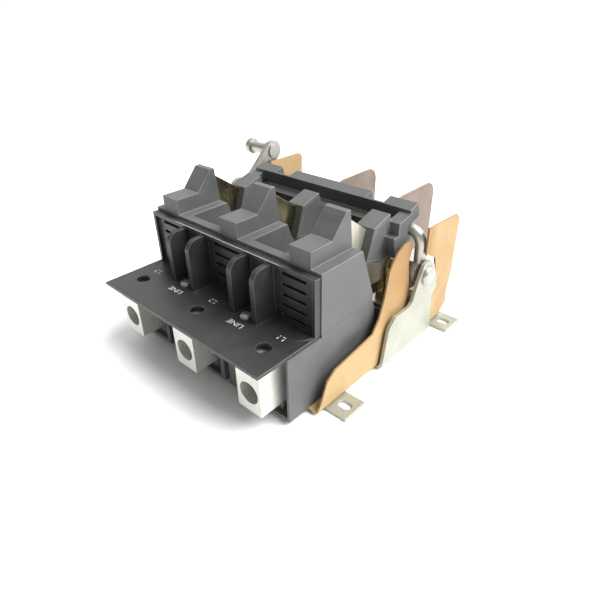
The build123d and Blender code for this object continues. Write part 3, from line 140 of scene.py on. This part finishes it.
class Look:
    """A procedural material under construction: noise and ramps in the part's own coordinates."""

    def __init__(self, name, roughness=0.5, metallic=0.0, **constants):
        self.mat = bpy.data.materials.new(name)
        self.mat.use_nodes = True
        self.nodes, self.links = self.mat.node_tree.nodes, self.mat.node_tree.links
        self.shader = self.nodes["Principled BSDF"]
        self.shader.inputs["Roughness"].default_value = roughness
        self.shader.inputs["Metallic"].default_value = metallic
        for socket, value in constants.items():
            self.shader.inputs[socket].default_value = value
        self.coords = self.nodes.new("ShaderNodeTexCoord").outputs["Object"]
        self.height = None

    def plug(self, socket, value):
        """Gives a socket a number, a colour or another socket's output."""
        if isinstance(value, (int, float)):
            socket.default_value = value
        elif isinstance(value, tuple):
            socket.default_value = (*value, 1)
        else:
            self.links.new(value, socket)

    def stretch(self, scale):
        """The coordinates with each axis scaled, for grain that runs one way."""
        node = self.nodes.new("ShaderNodeMapping")
        node.inputs["Scale"].default_value = scale
        self.links.new(self.coords, node.inputs["Vector"])
        return node.outputs["Vector"]

    def noise(self, scale, detail, roughness, distortion=0.0, stretch=None):
        node = self.nodes.new("ShaderNodeTexNoise")
        node.inputs["Scale"].default_value = scale
        node.inputs["Detail"].default_value = detail
        node.inputs["Roughness"].default_value = roughness
        node.inputs["Distortion"].default_value = distortion
        self.links.new(self.stretch(stretch) if stretch else self.coords, node.inputs["Vector"])
        return node.outputs["Fac"]

    def ramp(self, fac, *stops):
        """A colour ramp: each stop is a place from 0 to 1, and a colour or a grey."""
        node = self.nodes.new("ShaderNodeValToRGB")
        band = node.color_ramp
        while len(band.elements) < len(stops):
            band.elements.new(0.5)
        for element, (place, colour) in zip(band.elements, stops):
            red_green_blue = colour if isinstance(colour, tuple) else (colour, colour, colour)
            element.position = place
            element.color = (*red_green_blue, 1)
        self.links.new(fac, node.inputs["Fac"])
        return node.outputs["Color"]

    def mask(self, fac, low, high):
        """A value from 0 at low to 1 at high."""
        node = self.nodes.new("ShaderNodeMapRange")
        node.inputs["From Min"].default_value = low
        node.inputs["From Max"].default_value = high
        self.links.new(fac, node.inputs["Value"])
        return node.outputs["Result"]

    def math(self, operation, a, b=0.0):
        node = self.nodes.new("ShaderNodeMath")
        node.operation = operation
        for socket, value in zip(node.inputs, (a, b)):
            self.plug(socket, value)
        return node.outputs["Value"]

    def times(self, a, b):
        return self.math("MULTIPLY", a, b)

    def mix(self, fac, a, b, blend="MIX"):
        node = self.nodes.new("ShaderNodeMix")
        node.data_type, node.blend_type = "RGBA", blend
        for number, value in ((MIX_FACTOR, fac), (MIX_A, a), (MIX_B, b)):
            self.plug(node.inputs[number], value)
        return node.outputs[MIX_RESULT]

    def axis(self, letter, kind="Object"):
        """One coordinate of the place, or of the surface's own direction."""
        node = self.nodes.new("ShaderNodeSeparateXYZ")
        source = self.nodes.new("ShaderNodeTexCoord").outputs[kind]
        self.links.new(source, node.inputs["Vector"])
        return node.outputs[letter]

    def colour(self, socket):
        self.links.new(socket, self.shader.inputs["Base Color"])

    def rough(self, fac, low, high):
        """Roughness that follows a noise, from one value to another."""
        node = self.nodes.new("ShaderNodeMapRange")
        node.inputs["From Min"].default_value = ROUGH_LOW_AT
        node.inputs["From Max"].default_value = ROUGH_HIGH_AT
        node.inputs["To Min"].default_value = low
        node.inputs["To Max"].default_value = high
        self.links.new(fac, node.inputs["Value"])
        self.links.new(node.outputs["Result"], self.shader.inputs["Roughness"])

    def bump(self, fac, depth_mm, strength):
        """Adds relief of a depth in millimetres to the surface."""
        node = self.nodes.new("ShaderNodeBump")
        node.inputs["Strength"].default_value = strength
        node.inputs["Distance"].default_value = depth_mm * MM
        self.links.new(fac, node.inputs["Height"])
        if self.height is not None:
            self.links.new(self.height, node.inputs["Normal"])
        self.height = node.outputs["Normal"]
        self.links.new(self.height, self.shader.inputs["Normal"])


MOULDING_IOR = 1.5
SCUFF_SHARE = 0.45                 # how far a scuff goes to its paler colour
SCUFF_GAIN, SCUFF_LIFT = 1.5, 0.012
RIM_HIGHLIGHT_FADE = 6 * MM                 # width over which the painted highlight on a rim dies out at its ends
STAIN_SHARE = 0.55
FIBRE_IOR = 1.45
FLECK_SHARE, FLECK_DARKNESS = 0.35, 0.45
CUT_SHARE = 0.8                    # how far a cut edge goes to its own colour


def moulding(name, dark, mid, light, roughness, scuff_tint=1.0):
    """Glass-filled moulding: fine speckle, flow marks, handling scuffs and a slight orange peel."""
    look = Look(name, IOR=MOULDING_IOR)
    flow = look.noise(scale=38, detail=5, roughness=0.6, distortion=1.2)
    speck = look.noise(scale=2600, detail=2, roughness=0.7)
    scuff = look.noise(scale=160, detail=6, roughness=0.75, distortion=0.6, stretch=(1.0, 2.6, 0.8))
    base = look.ramp(flow, (0.30, dark), (0.52, mid), (0.78, light))
    grain = look.ramp(speck, (0.32, 0.82), (0.55, 1.0), (0.72, 1.16))
    base = look.mix(0.85, base, grain, "MULTIPLY")
    rub = look.mask(scuff, low=0.60, high=0.74)
    pale = tuple(min(1.0, c * SCUFF_GAIN * scuff_tint + SCUFF_LIFT) for c in light)
    base = look.mix(look.times(rub, SCUFF_SHARE), base, pale)
    look.colour(base)
    look.rough(flow, low=roughness - 0.06, high=roughness + 0.09)
    look.bump(speck, depth_mm=0.02, strength=0.5)
    look.bump(look.noise(scale=700, detail=3, roughness=0.5), depth_mm=0.03, strength=0.4)
    return look


def painted_rim_highlight(look, low, high, half_x, colour):
    """Paints a highlight on a moulding between two heights, within a half width: a bright band along
    its rim that stands in for a glint on the rounded edge.
    """
    height = look.mask(look.axis("Z"), low, high)
    inside = look.mask(look.math("ABSOLUTE", look.axis("X")), half_x, half_x - RIM_HIGHLIGHT_FADE)
    rim_glint = look.times(height, inside)
    base = look.shader.inputs["Base Color"].links[0].from_socket
    look.colour(look.mix(rim_glint, base, colour))


def sheet_metal(name, dark, light, roughness, grain=(1.0, 1.0, 1.0), metallic=1.0, scale=900,
                stain=None, relief=1.0):
    """Plated or bare metal: directional grain, cloudy patches and stains."""
    look = Look(name, metallic=metallic)
    cloud = look.noise(scale=45, detail=5, roughness=0.6, distortion=0.8)
    brush = look.noise(scale, detail=4, roughness=0.7, stretch=grain)
    base = look.ramp(cloud, (0.32, dark), (0.68, light))
    fine = look.ramp(brush, (0.30, 0.86), (0.60, 1.0), (0.80, 1.06))
    base = look.mix(0.8, base, fine, "MULTIPLY")
    if stain:
        patches = look.noise(scale=120, detail=6, roughness=0.7, distortion=0.5)
        spots = look.mask(patches, low=0.60, high=0.72)
        base = look.mix(look.times(spots, STAIN_SHARE), base, stain)
    look.colour(base)
    look.rough(brush, low=roughness - 0.08, high=roughness + 0.12)
    look.bump(brush, depth_mm=0.012, strength=0.5 * relief)
    return look


def fibre(name, dark, mid, light, edge, upper_painted_shade=None):
    """Vulcanised fibre: felted streaks, faint mottling, small dark flecks and its own cut edges;
    where given, painted shade on its upper front.
    """
    look = Look(name, roughness=0.6, IOR=FIBRE_IOR)
    felt = look.noise(scale=520, detail=6, roughness=0.72, distortion=0.7, stretch=(1.0, 0.5, 1.6))
    mottle = look.noise(scale=34, detail=4, roughness=0.55, distortion=0.6)
    base = look.ramp(mottle, (0.30, dark), (0.50, mid), (0.75, light))
    streaks = look.ramp(felt, (0.30, 0.80), (0.52, 1.0), (0.75, 1.12))
    base = look.mix(0.55, base, streaks, "MULTIPLY")
    fleck = look.mask(look.noise(scale=1500, detail=2, roughness=0.4), low=0.70, high=0.76)
    base = look.mix(look.times(fleck, FLECK_SHARE), base, tuple(c * FLECK_DARKNESS for c in dark))
    # painted shade: darkens the upper front of the sheet, where the parts above it shade it, patchy
    # with the mottling
    if upper_painted_shade:
        upper = look.mask(look.axis("Z"), low=26 * MM, high=48 * MM)
        ahead = look.mask(look.axis("Y"), low=34 * MM, high=26 * MM)
        patchy = look.mask(mottle, low=0.1, high=0.6)
        base = look.mix(look.times(look.times(upper, ahead), patchy), base, upper_painted_shade, "MULTIPLY")
    side = look.math("ABSOLUTE", look.axis("X", "Normal"))
    cut = look.math("SUBTRACT", 1.0, look.mask(side, low=0.25, high=0.55))
    above_flange = look.mask(look.axis("Z"), low=4.5 * MM, high=6.0 * MM)
    base = look.mix(look.times(look.times(cut, above_flange), CUT_SHARE), base, edge)
    look.colour(base)
    look.rough(felt, low=0.50, high=0.72)
    look.bump(felt, depth_mm=0.05, strength=0.35)
    look.bump(mottle, depth_mm=0.3, strength=0.15)
    return look


# Each look is named after its slot in the record, or after the slot whose rounded edges it colours;
# those edge looks are lighter copies that paint a highlight on the rounded edges, partly standing
# for edge wear.
# The copper slot's look on the first pole's blade is a paler copy of it: a painted reflection of the
# pale surround, which the other blades don't catch.
MOULDINGS = {
    "grey_moulding": dict(dark=(0.078, 0.081, 0.080), mid=(0.094, 0.098, 0.097),
                          light=(0.113, 0.117, 0.116), roughness=0.52),
    "grey_moulding_edge": dict(dark=(0.135, 0.139, 0.137), mid=(0.165, 0.17, 0.168),
                               light=(0.21, 0.215, 0.21), roughness=0.38),
    "dark_guard": dict(dark=(0.020, 0.0205, 0.020), mid=(0.026, 0.027, 0.026),
                       light=(0.036, 0.037, 0.035), roughness=0.40, scuff_tint=1.3),
    "dark_guard_edge": dict(dark=(0.07, 0.07, 0.068), mid=(0.10, 0.10, 0.097),
                            light=(0.16, 0.16, 0.155), roughness=0.30),
}
BLADE_GRAIN = (1.0, 0.5, 0.06)
METALS = {
    "zinc_steel": dict(dark=(0.35, 0.357, 0.30), light=(0.43, 0.44, 0.375), roughness=0.38,
                       metallic=0.6, stain=(0.30, 0.30, 0.22)),
    "zinc_steel_edge": dict(dark=(0.36, 0.355, 0.30), light=(0.46, 0.455, 0.40), roughness=0.32,
                            metallic=0.8),
    "bright_steel": dict(dark=(0.40, 0.40, 0.36), light=(0.50, 0.50, 0.455), roughness=0.34,
                         metallic=0.8, stain=(0.33, 0.32, 0.26), scale=420),
    "bright_steel_edge": dict(dark=(0.38, 0.38, 0.34), light=(0.48, 0.48, 0.44), roughness=0.32,
                              metallic=0.8, scale=420),
    "tinned_lug": dict(dark=(0.66, 0.66, 0.60), light=(0.76, 0.76, 0.70), roughness=0.38,
                       grain=(1.0, 0.12, 1.0), metallic=0.6, stain=(0.56, 0.56, 0.47)),
    "tinned_lug_edge": dict(dark=(0.80, 0.80, 0.74), light=(0.92, 0.92, 0.88), roughness=0.25,
                            metallic=0.8),
    "dark_screw": dict(dark=(0.10, 0.10, 0.09), light=(0.20, 0.195, 0.18), roughness=0.38,
                       metallic=0.9),
    "dark_screw_edge": dict(dark=(0.25, 0.25, 0.24), light=(0.35, 0.35, 0.33), roughness=0.3),
    "copper": dict(dark=(0.36, 0.32, 0.20), light=(0.50, 0.46, 0.32), roughness=0.27, scale=300,
                   grain=BLADE_GRAIN, relief=0.12),
    # paler copy of copper for the first pole's blade: a painted reflection
    "bright_blade": dict(dark=(0.56, 0.54, 0.44), light=(0.66, 0.64, 0.54), roughness=0.34,
                         scale=300, grain=BLADE_GRAIN, metallic=0.7, relief=0.12),
    "copper_edge": dict(dark=(0.62, 0.50, 0.26), light=(0.85, 0.72, 0.42), roughness=0.25),
    "arc_steel": dict(dark=(0.28, 0.26, 0.24), light=(0.48, 0.45, 0.42), roughness=0.45,
                      stain=(0.10, 0.08, 0.06)),
    "arc_steel_edge": dict(dark=(0.45, 0.43, 0.40), light=(0.6, 0.58, 0.55), roughness=0.35),
}
FIBRES = {
    # fibre_tan's last colour is the painted shade on its upper front
    "fibre_tan": dict(dark=(0.37, 0.235, 0.105), mid=(0.43, 0.285, 0.135),
                      light=(0.48, 0.33, 0.165), edge=(0.25, 0.15, 0.06), upper_painted_shade=(0.74, 0.62, 0.46)),
    "fibre_brown": dict(dark=(0.165, 0.125, 0.10), mid=(0.205, 0.16, 0.132),
                        light=(0.25, 0.20, 0.165), edge=(0.46, 0.36, 0.24)),
}
RIM_HIGHLIGHT_FROM, RIM_HIGHLIGHT_FULL = 1.2 * MM, 0.6 * MM      # below the guard's top: where the painted highlight on its rim starts, and where it is full
RIM_HALF_X = 44 * MM
RIM_HIGHLIGHT_COLOUR = (0.75, 0.76, 0.75)


def make_looks():
    """The materials by name."""
    looks = {}
    for maker, recipes in ((moulding, MOULDINGS), (sheet_metal, METALS), (fibre, FIBRES)):
        for name, recipe in recipes.items():
            looks[name] = maker(name, **recipe)
    guard_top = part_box("line_guard")[1].z
    # painted highlight: a bright band on the guard's top rim, standing in for the glint of the light
    # along its rounded front edge
    painted_rim_highlight(looks["dark_guard_edge"], guard_top - RIM_HIGHLIGHT_FROM, guard_top - RIM_HIGHLIGHT_FULL,
             RIM_HALF_X, RIM_HIGHLIGHT_COLOUR)
    return {name: look.mat for name, look in looks.items()}


# ---- edges of the CAD nodes ----------------------------------------------------------------------
BEVEL_MM = {
    "grey_moulding": 0.30, "dark_guard": 0.28, "zinc_steel": 0.18, "bright_steel": 0.15,
    "tinned_lug": 0.30, "dark_screw": 0.15, "copper": 0.15, "arc_steel": 0.12,
}
UNCLAMPED = ("crossbar",)          # its shortest edges would hold back the bevel of all the others
BEVEL_SEGMENTS = 2
SHARP_ANGLE = math.radians(38)
WELD_REACH = 0.002 * MM
FLAT_ANGLE = math.radians(0.4)
NORMAL_WEIGHT = 50


def dress_nodes(looks):
    """Gives every CAD node its material, and rounds its sharp edges by part of a millimetre."""
    for name, node in NODES.items():
        slot = node.data.materials[0].name.split(".")[0]
        node.data.materials[0] = looks["bright_blade" if name == "blade_1" else slot]
        weld = node.modifiers.new("weld", "WELD")
        weld.merge_threshold = WELD_REACH
        if slot in BEVEL_MM:
            flat = node.modifiers.new("flat", "DECIMATE")
            flat.decimate_type, flat.angle_limit = "DISSOLVE", FLAT_ANGLE
            # the second material is a lighter copy for the rounded edges: a painted highlight,
            # partly edge wear
            node.data.materials.append(looks[slot + "_edge"])
            bevel = node.modifiers.new("bevel", "BEVEL")
            bevel.width, bevel.segments = BEVEL_MM[slot] * MM, BEVEL_SEGMENTS
            bevel.limit_method, bevel.angle_limit = "ANGLE", SHARP_ANGLE
            bevel.material = 1
            bevel.use_clamp_overlap = name not in UNCLAMPED
        normals = node.modifiers.new("normals", "WEIGHTED_NORMAL")
        normals.keep_sharp = True
        normals.weight = NORMAL_WEIGHT


# ---- added pieces --------------------------------------------------------------------------------
SHELF_THICKNESS = 1.7 * MM
PANEL_THICKNESS = 1.8 * MM
LETTER_SIZE = 4.7 * MM
LETTER_STRETCH = 1.12
INK_HALF_THICKNESS = 0.01 * MM
INK_ROUGHNESS = 0.55
MARK_SETBACK = 12.4 * MM           # of the pole marks, from the guard's panel
MARK_SHIFT = 0.8 * MM              # of the outer poles' marks, outwards
LINE_SETBACK = 18.6 * MM
ARC_RADIUS = 12.2 * MM
ARC_WIDTH = 0.9 * MM
ARC_HEIGHT = 0.16 * MM
ARC_STEPS = 28
ARC_PROFILE = [(-0.5, 0.0), (-0.3, 0.8), (0.0, 1.0), (0.3, 0.8), (0.5, 0.0)]
CARRIER_FACE = 5.1 * MM            # a blade carrier's right face, from the pole's middle
CARRIER_FACE_REACH = 0.05 * MM
CARRIER_FACE_LEAST = 100 * MM * MM
BORDER_INSET = 1.5 * MM
BORDER_WIDTH = 0.5 * MM
BORDER_HEIGHT = 0.14 * MM
FACING = 0.999                     # the least cosine between a face and the way it should look


def add_piece(mesh, name, body, material):
    """Makes an object from a mesh, gives it its material and lets it ride on a body."""
    mesh.materials.clear()
    mesh.materials.append(material)
    piece = bpy.data.objects.new(name, mesh)
    scene.collection.objects.link(piece)
    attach(piece, body)


def add_bmesh(work, name, body, material):
    mesh = bpy.data.meshes.new(name)
    work.to_mesh(mesh)
    work.free()
    add_piece(mesh, name, body, material)


def inset_ring(work, thickness):
    """Insets every face from the outline inwards, and gives the ring of new faces."""
    return bmesh.ops.inset_region(work, faces=work.faces[:], thickness=thickness,
                                  use_boundary=True, use_even_offset=True)["faces"]


def carrier_border(name, face_x, material):
    """A raised bead inside the outline of a blade carrier's flat right face."""
    work = bmesh.new()
    work.from_mesh(NODES["crossbar"].data)
    bmesh.ops.remove_doubles(work, verts=work.verts, dist=WELD_REACH)
    bmesh.ops.dissolve_limit(work, angle_limit=FLAT_ANGLE, verts=work.verts, edges=work.edges)
    work.normal_update()
    away = [f for f in work.faces
            if f.normal.x < FACING
            or abs(f.calc_center_median().x - face_x) > CARRIER_FACE_REACH
            or f.calc_area() < CARRIER_FACE_LEAST]
    bmesh.ops.delete(work, geom=away, context="FACES")
    bmesh.ops.delete(work, geom=inset_ring(work, BORDER_INSET), context="FACES")
    ring = set(inset_ring(work, BORDER_WIDTH))
    inner = [f for f in work.faces if f not in ring]
    bmesh.ops.delete(work, geom=inner, context="FACES")
    raised = bmesh.ops.extrude_face_region(work, geom=work.faces[:])
    tops = [v for v in raised["geom"] if isinstance(v, bmesh.types.BMVert)]
    bmesh.ops.translate(work, verts=tops, vec=Vector((BORDER_HEIGHT, 0, 0)))
    bmesh.ops.recalc_face_normals(work, faces=work.faces[:])
    add_bmesh(work, name, "switch_arm", material)


def letters(name, text, place, ink):
    """Printed marks on top of the guard's shelf, read from the load side."""
    curve = bpy.data.curves.new(name + "_curve", "FONT")
    curve.body, curve.size = text, LETTER_SIZE
    curve.align_x, curve.align_y = "CENTER", "CENTER"
    curve.extrude = INK_HALF_THICKNESS
    holder = bpy.data.objects.new(name + "_curve", curve)
    scene.collection.objects.link(holder)
    bpy.context.view_layer.update()
    shaped = holder.evaluated_get(bpy.context.evaluated_depsgraph_get())
    mesh = bpy.data.meshes.new_from_object(shaped)
    bpy.data.objects.remove(holder)
    turn = Matrix.Rotation(math.pi, 4, "Z") @ Matrix.Diagonal((LETTER_STRETCH, 1, 1, 1))
    mesh.transform(Matrix.Translation(Vector(place)) @ turn)
    mesh.name = name
    add_piece(mesh, name, "base", ink)


def arc_bead(name, centre, material):
    """A shallow half-round bead that curves out from the guard's panel over its shelf."""
    work = bmesh.new()
    rows = []
    for i in range(ARC_STEPS + 1):
        angle = math.pi + math.pi * i / ARC_STEPS
        out = Vector((math.cos(angle), math.sin(angle), 0))
        rows.append([work.verts.new(Vector(centre) + out * (ARC_RADIUS + across * ARC_WIDTH)
                                    + Vector((0, 0, up * ARC_HEIGHT)))
                     for across, up in ARC_PROFILE])
    for near, far in zip(rows, rows[1:]):
        for a, b, c, d in zip(near, near[1:], far[1:], far):
            work.faces.new((a, b, c, d))
    for row in (rows[0], rows[-1]):
        work.faces.new(row)
    for near, far in zip(rows, rows[1:]):
        work.faces.new((near[0], far[0], far[-1], near[-1]))
    bmesh.ops.recalc_face_normals(work, faces=work.faces[:])
    add_bmesh(work, name, "base", material)


def add_details(looks):
    """Printed marks, relief arcs on the guard, and raised borders on the blade carriers."""
    ink = Look("print_ink", roughness=INK_ROUGHNESS)
    blots = ink.noise(scale=1500, detail=4, roughness=0.7)
    ink.colour(ink.ramp(blots, (0.30, 0.42), (0.48, 0.62), (0.70, 0.72)))
    guard_low, guard_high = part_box("line_guard")
    shelf_top = guard_low.z + SHELF_THICKNESS
    panel_y = guard_high.y - PANEL_THICKNESS
    lugs = {pole: sum(corner.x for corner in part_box(f"line_lug_{pole}")) / 2 for pole in (1, 2, 3)}
    gaps = {"right": (lugs[1] + lugs[2]) / 2, "left": (lugs[2] + lugs[3]) / 2}
    for pole, x in lugs.items():
        letters(f"mark_l{pole}", f"L{pole}",
                (x + MARK_SHIFT * (2 - pole), panel_y - MARK_SETBACK, shelf_top), ink.mat)
        arc_bead(f"guard_arc_{pole}", (x, panel_y, shelf_top), looks["dark_guard"])
    for side, x in gaps.items():
        letters(f"mark_line_{side}", "LINE", (x, panel_y - LINE_SETBACK, shelf_top), ink.mat)
    for pole, x in lugs.items():
        # the raised borders take the lighter edge look: a painted highlight along them
        carrier_border(f"carrier_border_{pole}", x + CARRIER_FACE, looks["grey_moulding_edge"])


make_camera()
make_stage()
make_light()
LOOKS = make_looks()
dress_nodes(LOOKS)
add_details(LOOKS)
